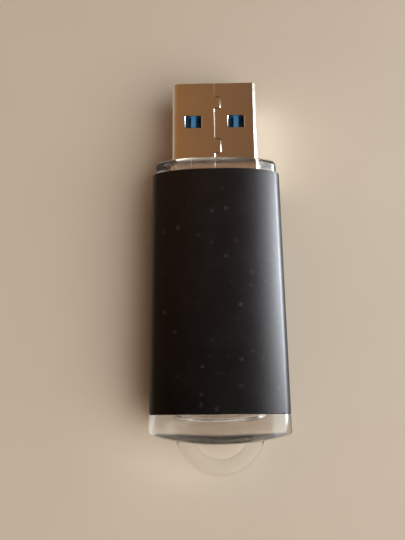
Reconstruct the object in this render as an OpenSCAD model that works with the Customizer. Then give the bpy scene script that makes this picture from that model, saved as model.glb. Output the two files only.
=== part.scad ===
// USB flash drive: crowned metal sleeve over a clear two-piece carrier, with a nine-contact plug,
// a circuit board inside and a lanyard loop moulded on the rear end.
// The drive lies flat: +Y points out of the plug, +Z is up, and z = 0 is the sleeve's resting face.

/* [Sleeve] */
// Width of the sleeve, across X
sleeve_w = 17.4; // [17:0.1:19]
// Thickness of the sleeve, across Z
sleeve_h = 8; // [7.8:0.1:9]
// Length of the sleeve, along Y
sleeve_len = 31.6; // [30:0.1:38]
// Wall of the extruded sleeve
sleeve_wall = 0.3; // [0.3:0.05:0.6]
// Width of the flat band along the middle of the top and the bottom
flat_w = 4.8; // [4:0.1:5.4]
// Radius of the crown on each side of the flat band
crown_r = 12; // [11:0.5:14]
// Radius of the sleeve's four long corners
corner_r = 1.5; // [1.4:0.05:1.7]

/* [Carrier] */
// Air between the carrier and the sleeve
sleeve_gap = 0.05; // [0.02:0.01:0.1]
// Length of the clear collar in front of the sleeve
collar_reach = 2.1; // [1:0.1:3]
// Length of the clear end behind the sleeve, on the centre line
end_reach = 3.4; // [3:0.1:4]
// Radius of the clear end's curve, seen from above
end_r = 34; // [30:1:40]
// Length of the lanyard loop behind the clear end
loop_reach = 3.9; // [3.5:0.1:4.2]
// Outer radius of the lanyard loop
loop_r = 5.6; // [5.2:0.1:6]
// Radius of the hole in the lanyard loop
loop_hole_r = 3.7; // [3.4:0.1:4]
// Thickness of the lanyard loop
loop_h = 2.6; // [2:0.1:3]

/* [Plug] */
// Width of the plug's metal shell
plug_w = 12; // [11.9:0.05:12.1]
// Height of the plug's metal shell
plug_h = 4.5; // [4.4:0.05:4.6]
// Length of the plug in front of the collar
plug_reach = 12; // [11.75:0.05:12.5]
// Sheet thickness of the shell
shell_wall = 0.3; // [0.27:0.01:0.32]
// Full length of the shell
shell_len = 18.6; // [18:0.1:19]
// Width and length of each latch window in the shell
window_size = [2.6, 2];
// Distance from the centre line to a window's centre
window_x = 3; // [2.9:0.05:3.1]
// Distance from the plug's tip to a window's front edge
window_t = 5.16; // [5:0.02:5.3]

/* [Board] */
// Width of the circuit board
board_w = 13.2; // [12.8:0.1:13.2]
// Thickness of the circuit board
board_h = 0.8; // [0.6:0.1:0.8]

/* [Hidden] */
// Distances written t run back from the plug's tip. Heights inside the modules are taken from
// the middle plane of the drive, and on_middle() lifts them to their place.
total_len = plug_reach + collar_reach + sleeve_len + end_reach + loop_reach;
tip_y = total_len / 2;
collar_t = plug_reach;
sleeve_t = collar_t + collar_reach;
sleeve_end_t = sleeve_t + sleeve_len;
end_t = sleeve_end_t + end_reach;
loop_centre_t = total_len - loop_r;
middle_z = sleeve_h / 2;
carrier_inset = sleeve_wall + sleeve_gap;

fine = 96;        // circle resolution of the outer shapes
small = 32;       // circle resolution of small parts
far = 100;        // longer than anything here, for cutting blocks
shell_bend_r = 0.6;
window_mid_t = window_t + window_size[1] / 2;
seam_tabs = [[2.3, 4.1], [8.9, 11]];   // where the seam's two tabs start and end
seam_tab_w = 0.85;
seam_w = 0.14;
seam_depth = 0.12;
leg_w = 1.2;      // width of the shell's soldering legs
leg_t = shell_len + 0.4;
leg_drop = 1.2;
leg_top = 1.2;

tongue_t = 0.7;   // front edge of the tongue, behind the tip
mouth_len = 8.7;  // depth of the plug's mouth
block_end_t = 15.6;
tongue_notch_t = 13.3;   // where the tongue is cut back over the contacts' bends
block_notch_t = 14.7;    // where the block is cut back under the tails' bends
contact_w = 1;
strip_h = 0.2;    // thickness of the contact strip
pocket_depth = 0.8;
pocket_rib_w = 0.7;
pocket_rib_drop = 0.25;
tongue_top = plug_h / 2 - shell_wall;
front_contact_x = [-3.5, -1, 1, 3.5];
front_contact_names = ["vbus_contact", "data_minus_contact", "data_plus_contact", "ground_contact"];
spring_x = [-4, -2, 0, 2, 4];
spring_w = 0.6;
spring_root_t = mouth_len - 0.06;
spring_slot = [0.9, 0.7];
spring_slot_t = 5.8;
tail_w = 0.5;
tail_end_t = 18.4;

pocket_w = 12.4;
pocket_h = 4.64;
plug_hole_end_t = 18;
rear_pocket_w = 10.8;
rear_pocket_h = 4;
rear_wall = 2.4;   // thickness of the clear end behind its hollow
loop_gap = 0.02;
loop_root = 0.4;
peg_x = 7.3;
peg_r = 0.45;
peg_len = 1.1;
peg_t = [sleeve_t + 2, sleeve_end_t - 2.6];
socket_r = 0.5;
socket_depth = 1.25;

board_t = 15.7;
board_shoulder_t = shell_len + 0.2;
board_end_t = sleeve_end_t - 0.6;
board_tongue_w = 11;
board_corner_r = 0.8;
board_slack = 0.05;
board_top = board_h / 2;
leg_slot = [0.6, leg_w + 0.3];

flash_size = [12, 18.4, 1];
flash_t = 31.6;         // middle of the memory chip
flash_lead_span = 20;
flash_leads = 24;       // on each end
controller_size = [7, 7, 0.9];
controller_t = 28;
controller_lead_span = 9;
controller_leads = 12;  // on each side
lead_pitch = 0.5;
lead_w = 0.22;
lead_h = 0.15;
chip_lift = 0.08;
crystal_size = [3.2, 2.5, 0.7];
crystal_t = 36.5;
inductor_size = [2.5, 2, 1.2];
inductor_t = 40.5;
regulator_size = [1.6, 2.9, 1.1];
regulator_t = 40.3;
led_size = [1.6, 0.8, 0.6];
led_t = 44.2;
capacitor_size = [1, 0.5, 0.5];
resistor_size = [1, 0.5, 0.35];
bead_size = [1.6, 0.8, 0.8];
// Each passive part is [x, t, side], where side 1 is the top of the board and -1 the underside.
capacitors = [[-4.8, 20.4, 1], [-3.2, 20.4, 1], [3.2, 20.4, 1], [4.8, 20.4, 1], [-4.9, 42.7, 1],
              [-3.3, 42.7, 1], [-4.9, 34, -1], [4.9, 34, -1], [-4.9, 35.4, -1], [4.9, 35.4, -1],
              [4.9, 37.4, -1], [4.9, 38.8, -1]];
resistors = [[3.3, 42.7, 1], [4.9, 42.7, 1], [1.7, 42.7, 1], [-4.9, 36.8, -1], [-4.9, 38.2, -1],
             [0, 33.9, -1], [1.6, 43.6, -1], [-1.6, 43.6, -1]];
beads = [[-4.6, 21.4, -1], [-2.3, 21.4, -1], [2.3, 21.4, -1]];

function y_at(t) = tip_y - t;

// Lifts a part from the drive's middle plane to its place.
module on_middle() translate([0, 0, middle_z]) children();

// Extrudes an X-Z outline back from distance t over a length.
module back_from(t, length)
    translate([0, y_at(t), 0]) rotate([90, 0, 0]) linear_extrude(length) children();

// Extrudes a Y-Z outline, drawn with t as -y from the tip, over a width centred on x.
module across(x, width)
    translate([x - width / 2, tip_y, 0]) rotate([90, 0, 90]) linear_extrude(width) children();

// A block centred on x and on distance t, standing on height z.
module block(x, t, z, size)
    translate([x - size[0] / 2, y_at(t) - size[1] / 2, z]) cube(size);

// A block on the top (side 1) or the underside (side -1) of the board.
module mounted(x, t, side, size, lift = 0)
    block(x, t, side > 0 ? board_top + lift : -board_top - lift - size[2], size);

// A rectangle with round corners, centred.
module round_rect(w, h, r) {
    square([w - 2 * r, h], center = true);
    square([w, h - 2 * r], center = true);
    for (sx = [-1, 1], sz = [-1, 1])
        translate([sx * (w / 2 - r), sz * (h / 2 - r)]) circle(r, $fn = small);
}

// A strip of thickness strip_h along points [t, z], as a side outline.
module strip(points)
    polygon(concat([for (p = points) [-p[0], p[1] + strip_h / 2]],
                   [for (i = [len(points) - 1:-1:0]) [-points[i][0], points[i][1] - strip_h / 2]]));

// The drive's crowned outline, moved inwards by inset: a flat band, a crown arc on each side of it,
// and small corner arcs that touch the crown arcs.
module crowned_outline(inset) {
    half_w = sleeve_w / 2 - inset;
    half_h = sleeve_h / 2 - inset;
    big_r = crown_r - inset;
    r = corner_r - inset;
    flat_x = flat_w / 2;
    corner_x = half_w - r;
    corner_z = half_h - big_r + sqrt(pow(big_r - r, 2) - pow(corner_x - flat_x, 2));
    touch_x = flat_x + (corner_x - flat_x) * big_r / (big_r - r);
    square([flat_w, 2 * half_h], center = true);
    square([2 * half_w, 2 * corner_z], center = true);
    for (side = [-1, 1]) {
        intersection() {
            translate([side * flat_x, half_h - big_r]) circle(big_r, $fn = 4 * fine);
            translate([side * flat_x, big_r - half_h]) circle(big_r, $fn = 4 * fine);
            translate([side * touch_x / 2, 0]) square([touch_x, 2 * half_h], center = true);
        }
        for (up = [-1, 1])
            translate([side * corner_x, up * corner_z]) circle(r, $fn = fine);
    }
}

module metal_sleeve() color([0.1, 0.09, 0.09]) on_middle()
    difference() {
        back_from(sleeve_t, sleeve_len) crowned_outline(0);
        back_from(sleeve_t - 1, sleeve_len + 2) crowned_outline(sleeve_wall);
    }

// Everything inside the round rim that closes the clear end.
module end_rim() {
    rim_r = 1.5;
    rim_half_h = sleeve_h / 2 + 0.3;
    translate([0, y_at(end_t) + end_r, 0]) rotate_extrude($fn = 4 * fine) {
        translate([0, -rim_half_h]) square([end_r - rim_r, 2 * rim_half_h]);
        translate([0, rim_r - rim_half_h]) square([end_r, 2 * (rim_half_h - rim_r)]);
        for (up = [-1, 1])
            translate([end_r - rim_r, up * (rim_half_h - rim_r)]) circle(rim_r, $fn = fine);
    }
}

// The carrier's full outline, both halves together and without the loop.
module carrier_body() {
    back_from(collar_t, collar_reach + sleeve_len) crowned_outline(carrier_inset);
    intersection() {
        back_from(sleeve_end_t, end_reach + 1) crowned_outline(0);
        end_rim();
    }
}

// The space inside the carrier: the plug's seat, the chips' room, the board's rebate and the hollow
// of the clear end.
module carrier_space() {
    back_from(collar_t - 1, plug_hole_end_t - collar_t + 2) round_rect(plug_w, plug_h, shell_bend_r);
    back_from(plug_hole_end_t, sleeve_end_t - plug_hole_end_t) square([pocket_w, pocket_h], center = true);
    back_from(board_shoulder_t, sleeve_end_t - board_shoulder_t)
        square([board_w + 2 * board_slack, board_h], center = true);
    intersection() {
        back_from(sleeve_end_t - 1, end_reach + 1) square([rear_pocket_w, rear_pocket_h], center = true);
        translate([0, y_at(end_t) + end_r, 0])
            cylinder(h = sleeve_h, r = end_r - rear_wall, center = true, $fn = 4 * fine);
    }
}

// The loop grows out of the base's end below the middle plane, and stands clear of the cover's above it.
module lanyard_loop()
    difference() {
        translate([0, y_at(loop_centre_t), 0])
            cylinder(h = loop_h, r = loop_r, center = true, $fn = 2 * fine);
        translate([0, y_at(loop_centre_t), 0])
            cylinder(h = loop_h + 1, r = loop_hole_r, center = true, $fn = 2 * fine);
        translate([0, y_at(end_t) + end_r, 0])
            cylinder(h = loop_h, r = end_r + loop_gap, $fn = 4 * fine);
        translate([0, y_at(end_t) + end_r, -loop_h])
            cylinder(h = loop_h + 0.01, r = end_r - loop_root, $fn = 4 * fine);
    }

module carrier_base() color([0.9, 0.9, 0.88, 0.4]) on_middle() {
    difference() {
        carrier_body();
        carrier_space();
        translate([-far / 2, -far / 2, 0]) cube(far);
    }
    for (side = [-1, 1], t = peg_t)
        translate([side * peg_x, y_at(t), -0.01]) cylinder(h = peg_len + 0.01, r = peg_r, $fn = small);
    lanyard_loop();
}

module carrier_cover() color([0.9, 0.9, 0.88, 0.4]) on_middle()
    difference() {
        carrier_body();
        carrier_space();
        translate([-far / 2, -far / 2, -far]) cube(far);
        for (side = [-1, 1], t = peg_t)
            translate([side * peg_x, y_at(t), -1])
                cylinder(h = socket_depth + 1, r = socket_r, $fn = small);
    }

// The groove of the folded shell's seam, with its two tabs, in the shell's top face.
module seam_groove() {
    half_w = seam_w / 2;
    joints = [0, seam_tabs[0][0], seam_tabs[0][1], seam_tabs[1][0], seam_tabs[1][1], shell_len];
    for (i = [0:len(joints) - 2]) {
        x = i % 2 * seam_tab_w;
        front = joints[i] - half_w;
        back = joints[i + 1] + half_w;
        translate([x - half_w, y_at(back), plug_h / 2 - seam_depth]) cube([seam_w, back - front, 1]);
    }
    for (tab = seam_tabs, t = tab)
        translate([0, y_at(t) - half_w, plug_h / 2 - seam_depth]) cube([seam_tab_w, seam_w, 1]);
}

// A soldering leg on one side of the shell: back over the board, then down through it.
module shell_leg(side) {
    reach = leg_t + leg_w - shell_len;
    translate([side * (plug_w - shell_wall) / 2 - shell_wall / 2, y_at(leg_t + leg_w), board_top + 0.1])
        cube([shell_wall, reach + 0.5, leg_top - board_top]);
    translate([side * (plug_w - shell_wall) / 2 - shell_wall / 2, y_at(leg_t + leg_w), -leg_drop])
        cube([shell_wall, leg_w, leg_drop + 1]);
}

module plug_shell() color([0.75, 0.73, 0.7]) on_middle() {
    difference() {
        back_from(0, shell_len) round_rect(plug_w, plug_h, shell_bend_r);
        back_from(-1, shell_len + 2)
            round_rect(plug_w - 2 * shell_wall, plug_h - 2 * shell_wall, shell_bend_r - shell_wall);
        for (side = [-1, 1])
            block(side * window_x, window_mid_t, -plug_h, [window_size[0], window_size[1], 2 * plug_h]);
        seam_groove();
    }
    for (side = [-1, 1]) shell_leg(side);
}

// Side route of a front contact: a flat pad under the tongue, up into the tongue, then back to the
// top of the board.
function front_route(pad_t) = [[pad_t, strip_h / 2], [5.2, strip_h / 2], [5.6, 0.95], [13.4, 0.95],
                               [14.2, board_top + strip_h / 2], [tail_end_t, board_top + strip_h / 2]];
// The two outer pads reach further forward, so that power connects first.
function pad_t(i) = i == 0 || i == 3 ? 1.3 : 2.3;

module front_contact(i) color([0.85, 0.66, 0.3]) on_middle()
    across(front_contact_x[i], contact_w) strip(front_route(pad_t(i)));

// Side route of a spring contact's fixed tail: back through the block to the underside of the board.
function tail_route() = [[mouth_len, -strip_h / 2], [14.4, -strip_h / 2],
                         [15, -board_top - strip_h / 2], [tail_end_t, -board_top - strip_h / 2]];

module spring_contact_tails() color([0.85, 0.66, 0.3]) on_middle()
    for (x = spring_x) across(x, tail_w) strip(tail_route());

// Side route of a spring's arm: forward and down to the bump, then up to the tip.
function spring_route() = [[spring_root_t, 0], [7.4, -0.3], [6.9, -0.42], [6.6, -0.36], [6.1, 0]];

module spring_contact(i) color([0.85, 0.66, 0.3]) on_middle()
    translate([0, 0, -strip_h / 2]) across(spring_x[i], spring_w) strip(spring_route());

// The hollow in the tongue under one of the shell's windows, with a rib along its middle.
module window_pocket(side)
    difference() {
        block(side * window_x, window_mid_t, tongue_top - pocket_depth,
              [window_size[0], window_size[1], pocket_depth + 1]);
        block(side * window_x, window_mid_t, 0,
              [pocket_rib_w, window_size[1] + 1, tongue_top - pocket_rib_drop]);
    }

// Plastic that fills the shell from distance t to the plug's back, on one side of the middle plane.
module shell_filling(t, up)
    intersection() {
        back_from(t, block_end_t - t)
            round_rect(plug_w - 2 * shell_wall, plug_h - 2 * shell_wall, shell_bend_r - shell_wall);
        translate([-far / 2, -far / 2, up ? 0 : -far]) cube(far);
    }

module plug_tongue() color([0.1, 0.3, 0.6]) on_middle()
    difference() {
        shell_filling(tongue_t, true);
        for (side = [-1, 1]) window_pocket(side);
        for (i = [0:3]) across(front_contact_x[i], contact_w) strip(front_route(pad_t(i)));
        block(0, block_end_t, -1,
              [board_tongue_w, 2 * (block_end_t - tongue_notch_t), 1 + board_top + strip_h]);
        for (x = spring_x)
            block(x, (mouth_len + spring_slot_t) / 2, -1,
                  [spring_slot[0], mouth_len - spring_slot_t, 1 + spring_slot[1]]);
    }

module spring_contact_block() color([0.08, 0.25, 0.52]) on_middle()
    difference() {
        shell_filling(mouth_len, false);
        for (x = spring_x) across(x, tail_w) strip(tail_route());
        block(0, block_end_t, -board_top - strip_h, [board_tongue_w, 2 * (block_end_t - block_notch_t), 2]);
    }

module circuit_board() color([0.05, 0.25, 0.16]) on_middle()
    difference() {
        translate([0, 0, -board_top]) linear_extrude(board_h) difference() {
            union() {
                translate([-board_tongue_w / 2, y_at(board_shoulder_t + 1)])
                    square([board_tongue_w, board_shoulder_t + 1 - board_t]);
                translate([0, y_at((board_shoulder_t + board_end_t) / 2)])
                    round_rect(board_w, board_end_t - board_shoulder_t, board_corner_r);
            }
            for (side = [-1, 1])
                translate([side * (plug_w - shell_wall) / 2 - leg_slot[0] / 2, y_at(leg_t + leg_w + 0.15)])
                    square(leg_slot);
        }
    }

// A gull-wing lead that leaves a chip towards +Y at height lift and lands on the board.
module gull_lead(reach, body_lift)
    translate([-lead_w / 2, 0, 0]) rotate([90, 0, 90]) linear_extrude(lead_w)
        polygon([[-0.1, body_lift], [reach * 0.35, body_lift],
                 [reach * 0.6, 0], [reach, 0], [reach, lead_h],
                 [reach * 0.6 + 0.08, lead_h], [reach * 0.35 + 0.08, body_lift + lead_h],
                 [-0.1, body_lift + lead_h]]);

// A row of leads along one side of a chip, turned about the chip's centre.
module lead_row(count, half_body, reach, body_lift, turn)
    rotate([0, 0, turn]) for (i = [0:count - 1])
        translate([(i - (count - 1) / 2) * lead_pitch, half_body, 0]) gull_lead(reach, body_lift);

// A moulded chip body with its pin-one dimple.
module chip_body(size, t, side) {
    dimple_x = size[0] / 2 - 1.2;
    dimple_y = y_at(t) + size[1] / 2 - 1.2;
    top = side * (board_top + chip_lift + size[2]);
    difference() {
        mounted(0, t, side, size, chip_lift);
        translate([-dimple_x, dimple_y, top]) cylinder(h = 0.2, r = 0.4, center = true, $fn = small);
    }
}

module memory_chip() color([0.08, 0.08, 0.08]) on_middle()
    difference() {
        chip_body(flash_size, flash_t, 1);
        memory_leads_shape();
    }

module memory_leads_shape()
    translate([0, y_at(flash_t), board_top]) for (turn = [0, 180])
        lead_row(flash_leads, flash_size[1] / 2, (flash_lead_span - flash_size[1]) / 2, 0.45, turn);

module memory_chip_leads() color([0.8, 0.8, 0.8]) on_middle() memory_leads_shape();

module controller_leads_shape()
    mirror([0, 0, 1]) translate([0, y_at(controller_t), board_top]) for (turn = [0:90:270])
        lead_row(controller_leads, controller_size[0] / 2,
                 (controller_lead_span - controller_size[0]) / 2, 0.4, turn);

module controller_chip() color([0.08, 0.08, 0.08]) on_middle()
    difference() {
        chip_body(controller_size, controller_t, -1);
        controller_leads_shape();
    }

module controller_chip_leads() color([0.8, 0.8, 0.8]) on_middle() controller_leads_shape();

module crystal() color([0.8, 0.78, 0.74]) on_middle() mounted(0, crystal_t, -1, crystal_size);

module power_inductor() color([0.2, 0.2, 0.22]) on_middle() mounted(2.8, inductor_t, -1, inductor_size);

module regulator_leads_shape()
    mirror([0, 0, 1]) for (x = [-0.95, 0, 0.95])
        translate([-2.8, y_at(regulator_t), board_top]) rotate([0, 0, 90])
            for (turn = x == 0 ? [0] : [0, 180])
                rotate([0, 0, turn]) translate([x, regulator_size[0] / 2, 0]) gull_lead(0.6, 0.45);

module voltage_regulator() color([0.1, 0.1, 0.1]) on_middle()
    difference() {
        mounted(-2.8, regulator_t, -1, regulator_size, chip_lift);
        regulator_leads_shape();
    }

module regulator_leads() color([0.8, 0.8, 0.8]) on_middle() regulator_leads_shape();

module activity_led() color([0.9, 0.88, 0.75]) on_middle() mounted(0, led_t, 1, led_size);

module passives(places, size) on_middle() for (p = places) mounted(p[0], p[1], p[2], size);

module capacitors() color([0.7, 0.58, 0.42]) passives(capacitors, capacitor_size);
module resistors() color([0.12, 0.12, 0.13]) passives(resistors, resistor_size);
module ferrite_beads() color([0.3, 0.3, 0.3]) passives(beads, bead_size);

metal_sleeve();
carrier_base();
carrier_cover();
plug_shell();
plug_tongue();
spring_contact_block();
for (i = [0:3]) front_contact(i);
for (i = [0:4]) spring_contact(i);
spring_contact_tails();
circuit_board();
memory_chip();
memory_chip_leads();
controller_chip();
controller_chip_leads();
crystal();
power_inductor();
voltage_regulator();
regulator_leads();
activity_led();
capacitors();
resistors();
ferrite_beads();
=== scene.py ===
import math
import bmesh
import bpy
from mathutils import Matrix, Vector


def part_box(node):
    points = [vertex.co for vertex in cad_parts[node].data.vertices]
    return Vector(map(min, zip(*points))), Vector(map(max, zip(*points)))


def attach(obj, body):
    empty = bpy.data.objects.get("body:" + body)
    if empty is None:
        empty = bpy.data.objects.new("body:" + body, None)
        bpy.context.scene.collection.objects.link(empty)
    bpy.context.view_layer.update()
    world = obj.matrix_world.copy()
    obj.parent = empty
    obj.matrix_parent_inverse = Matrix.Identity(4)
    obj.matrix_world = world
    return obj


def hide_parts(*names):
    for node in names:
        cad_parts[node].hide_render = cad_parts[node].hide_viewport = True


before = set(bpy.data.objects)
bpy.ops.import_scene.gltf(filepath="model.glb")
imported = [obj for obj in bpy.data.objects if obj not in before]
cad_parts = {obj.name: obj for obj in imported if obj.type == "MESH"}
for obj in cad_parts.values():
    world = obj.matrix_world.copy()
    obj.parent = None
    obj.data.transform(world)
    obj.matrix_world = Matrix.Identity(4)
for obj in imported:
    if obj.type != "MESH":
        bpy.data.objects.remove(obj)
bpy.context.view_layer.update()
mm = 0.001  # shapes are drawn in millimetres, and scaled to metres when their piece is finished
rootBody = "drive"


def boxMm(node):
    low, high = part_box(node)
    return low / mm, high / mm


sleeveLow, sleeveHigh = boxMm("metal_sleeve")
coverLow, coverHigh = boxMm("carrier_cover")
baseLow = boxMm("carrier_base")[0]
shellLow, shellHigh = boxMm("plug_shell")
boardLow, boardHigh = boxMm("circuit_board")
middleZ = (sleeveLow.z + sleeveHigh.z) / 2
tipY = shellHigh.y
endY = coverLow.y  # the rearmost point of the clear end


def backFromTip(distance):
    return tipY - distance


# What nodes and sockets share: a value is set, and a socket is linked.
def addNode(tree, kind, inputs=None, **settings):
    node = tree.nodes.new(kind)
    for name, value in settings.items():
        setattr(node, name, value)
    for key, value in (inputs or {}).items():
        if isinstance(value, bpy.types.NodeSocket):
            tree.links.new(value, node.inputs[key])
        else:
            node.inputs[key].default_value = value
    return node


print("stage: materials")


def newMaterial(name, shaderInputs):
    material = bpy.data.materials.new(name)
    material.use_nodes = True
    tree = material.node_tree
    shader = tree.nodes["Principled BSDF"]
    for key, value in shaderInputs.items():
        shader.inputs[key].default_value = value
    coords = addNode(tree, "ShaderNodeTexCoord").outputs["Object"]
    return material, tree, shader, coords


def stretched(tree, coords, scale):
    return addNode(tree, "ShaderNodeMapping", {"Vector": coords, "Scale": scale}).outputs["Vector"]


def noise(tree, coords, scale, detail=3.0, roughness=0.5):
    return addNode(tree, "ShaderNodeTexNoise", {
        "Vector": coords, "Scale": scale, "Detail": detail, "Roughness": roughness}).outputs["Fac"]


def ramp(tree, factor, low, high, lowValue=0.0, highValue=1.0):
    return addNode(tree, "ShaderNodeMapRange", {
        "Value": factor, "From Min": low, "From Max": high,
        "To Min": lowValue, "To Max": highValue}).outputs["Result"]


def mixColors(tree, factor, first, second):
    node = addNode(tree, "ShaderNodeMix", {0: factor, 6: first, 7: second}, data_type="RGBA")
    return node.outputs[2]


def bump(tree, shader, height, strength, distance):
    lifted = addNode(tree, "ShaderNodeBump", {"Height": height, "Strength": strength, "Distance": distance})
    tree.links.new(lifted.outputs["Normal"], shader.inputs["Normal"])


def combine(tree, operation, first, second):
    return addNode(tree, "ShaderNodeMath", {0: first, 1: second}, operation=operation).outputs[0]


# Scattered cells: the distance to each cell's point, and a random value that each cell has to itself.
def scatter(tree, coords, scale, channel):
    cells = addNode(tree, "ShaderNodeTexVoronoi", {"Vector": coords, "Scale": scale, "Randomness": 1.0})
    colors = addNode(tree, "ShaderNodeSeparateColor", {"Color": cells.outputs["Color"]})
    return cells.outputs["Distance"], colors.outputs[channel]


sleeveFinish = {
    "dye": (0.0012, 0.0008, 0.0007, 1), "thin": (0.0032, 0.0022, 0.0019, 1), "dust": (0.13, 0.125, 0.125, 1),
    "specular": (1.0, 0.91, 0.92, 1), "roughness": (0.36, 0.40), "grainScale": 9000.0, "cloudScale": 320.0,
    "speckScale": 640.0, "speckStrength": 0.24, "fineScale": 1500.0, "fineStrength": 0.16}


def makeAnodised():
    material, tree, shader, coords = newMaterial("anodisedBlack", {
        "IOR": 1.5, "Specular Tint": sleeveFinish["specular"]})
    # blasted grain under the dye, with cloudy patches where the dye took less
    clouds = noise(tree, coords, sleeveFinish["cloudScale"], 4.0, 0.6)
    grain = noise(tree, coords, sleeveFinish["grainScale"], 2.0, 0.7)
    dyed = mixColors(tree, ramp(tree, clouds, 0.35, 0.75), sleeveFinish["dye"], sleeveFinish["thin"])
    # specks of dust: few cells of a scattered pattern, each a small soft dot
    wobble = addNode(tree, "ShaderNodeTexNoise", {"Vector": coords, "Scale": 2600.0}).outputs["Color"]
    ragged = addNode(tree, "ShaderNodeMix", {0: 0.0006, 4: coords, 5: wobble}, data_type="VECTOR").outputs[1]
    near, chosen = scatter(tree, ragged, sleeveFinish["speckScale"], "Red")
    speck = combine(tree, "MULTIPLY", ramp(tree, near, 0.03, 0.24, 1.0, 0.0),
                    ramp(tree, chosen, 0.35, 1.0, 0.0, sleeveFinish["speckStrength"]))
    fineNear, fineChosen = scatter(tree, ragged, sleeveFinish["fineScale"], "Green")
    fineSpeck = combine(tree, "MULTIPLY", ramp(tree, fineNear, 0.05, 0.22, 1.0, 0.0),
                        ramp(tree, fineChosen, 0.80, 1.0, 0.0, sleeveFinish["fineStrength"]))
    dust = combine(tree, "MAXIMUM", speck, fineSpeck)
    colored = mixColors(tree, dust, dyed, sleeveFinish["dust"])
    tree.links.new(colored, shader.inputs["Base Color"])
    rough = combine(tree, "ADD", ramp(tree, clouds, 0.3, 0.7, *sleeveFinish["roughness"]),
                    combine(tree, "MULTIPLY", dust, 0.3))
    tree.links.new(rough, shader.inputs["Roughness"])
    bump(tree, shader, grain, 0.35, 0.00002)
    return material


clearFinish = {
    "color": (0.98, 0.97, 0.955, 1), "index": 1.57, "haze": (0.12, 0.24), "dimmed": (0.50, 0.42, 0.35, 1)}


def makeClear():
    material, tree, shader, coords = newMaterial("clearPolycarbonate", {
        "Base Color": clearFinish["color"], "Transmission Weight": 1.0, "IOR": clearFinish["index"]})
    # handling haze and a faint ripple from the mould
    haze = noise(tree, coords, 900.0, 5.0, 0.65)
    tree.links.new(ramp(tree, haze, 0.3, 0.8, *clearFinish["haze"]), shader.inputs["Roughness"])
    ripple = noise(tree, coords, 420.0, 1.0)
    bump(tree, shader, ripple, 0.2, 0.00006)
    # lamps reach what is inside and under the plastic, a little dimmed by each surface
    shadow = addNode(tree, "ShaderNodeLightPath").outputs["Is Shadow Ray"]
    dimmer = addNode(tree, "ShaderNodeBsdfTransparent", {"Color": clearFinish["dimmed"]})
    both = addNode(tree, "ShaderNodeMixShader", {
        0: shadow, 1: shader.outputs["BSDF"], 2: dimmer.outputs["BSDF"]})
    tree.links.new(both.outputs["Shader"], tree.nodes["Material Output"].inputs["Surface"])
    return material


nickelFinish = {
    "clean": (0.93, 0.87, 0.785, 1), "smeared": (0.84, 0.78, 0.69, 1), "pitted": (0.97, 0.95, 0.90, 1),
    "roughness": (0.10, 0.22), "scratchRoughness": 0.12, "pitScale": 1500.0}


def makeNickel():
    material, tree, shader, coords = newMaterial("nickelPlate", {"Metallic": 1.0})
    # the sheet's rolling lines and insertion scratches run along the plug
    lines = noise(tree, stretched(tree, coords, (1.0, 0.03, 1.0)), 9000.0, 3.0, 0.6)
    scratches = noise(tree, stretched(tree, coords, (1.0, 0.012, 1.0)), 3600.0, 2.0, 0.9)
    smears = noise(tree, coords, 260.0, 4.0, 0.6)
    near, chosen = scatter(tree, coords, nickelFinish["pitScale"], "Blue")
    pit = combine(tree, "MULTIPLY", ramp(tree, near, 0.04, 0.12, 1.0, 0.0),
                  ramp(tree, chosen, 0.86, 0.98, 0.0, 0.6))
    tint = mixColors(tree, ramp(tree, smears, 0.35, 0.7), nickelFinish["clean"], nickelFinish["smeared"])
    tree.links.new(mixColors(tree, pit, tint, nickelFinish["pitted"]), shader.inputs["Base Color"])
    rough = combine(tree, "ADD", ramp(tree, smears, 0.3, 0.75, *nickelFinish["roughness"]),
                    ramp(tree, scratches, 0.6, 0.8, 0.0, nickelFinish["scratchRoughness"]))
    tree.links.new(rough, shader.inputs["Roughness"])
    height = combine(tree, "ADD", combine(tree, "MULTIPLY", lines, 0.35), combine(tree, "MULTIPLY", pit, -0.8))
    bump(tree, shader, height, 0.3, 0.000012)
    return material


def makePlastic(name, color, shade, roughness, specks=0.0):
    material, tree, shader, coords = newMaterial(name, {"IOR": 1.5})
    patches = noise(tree, coords, 700.0, 3.0)
    colored = mixColors(tree, ramp(tree, patches, 0.3, 0.7), color, shade)
    if specks:
        glints = noise(tree, coords, 7000.0, 2.0, 0.8)
        colored = mixColors(tree, ramp(tree, glints, 0.62, 0.75, 0.0, specks), colored, (0.4, 0.4, 0.4, 1))
    tree.links.new(colored, shader.inputs["Base Color"])
    rough = ramp(tree, patches, 0.3, 0.7, roughness - 0.05, roughness + 0.07)
    tree.links.new(rough, shader.inputs["Roughness"])
    bump(tree, shader, noise(tree, coords, 5200.0, 3.0, 0.7), 0.25, 0.00002)
    return material


def makeMetal(name, color, tarnish, roughness, alongY=1.0):
    material, tree, shader, coords = newMaterial(name, {"Metallic": 1.0})
    stains = noise(tree, coords, 1400.0, 4.0, 0.6)
    grain = noise(tree, stretched(tree, coords, (1.0, alongY, 1.0)), 8000.0, 3.0, 0.6)
    colored = mixColors(tree, ramp(tree, stains, 0.45, 0.75), color, tarnish)
    tree.links.new(colored, shader.inputs["Base Color"])
    tree.links.new(ramp(tree, stains, 0.3, 0.7, roughness, roughness + 0.12), shader.inputs["Roughness"])
    bump(tree, shader, grain, 0.3, 0.00001)
    return material


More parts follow.
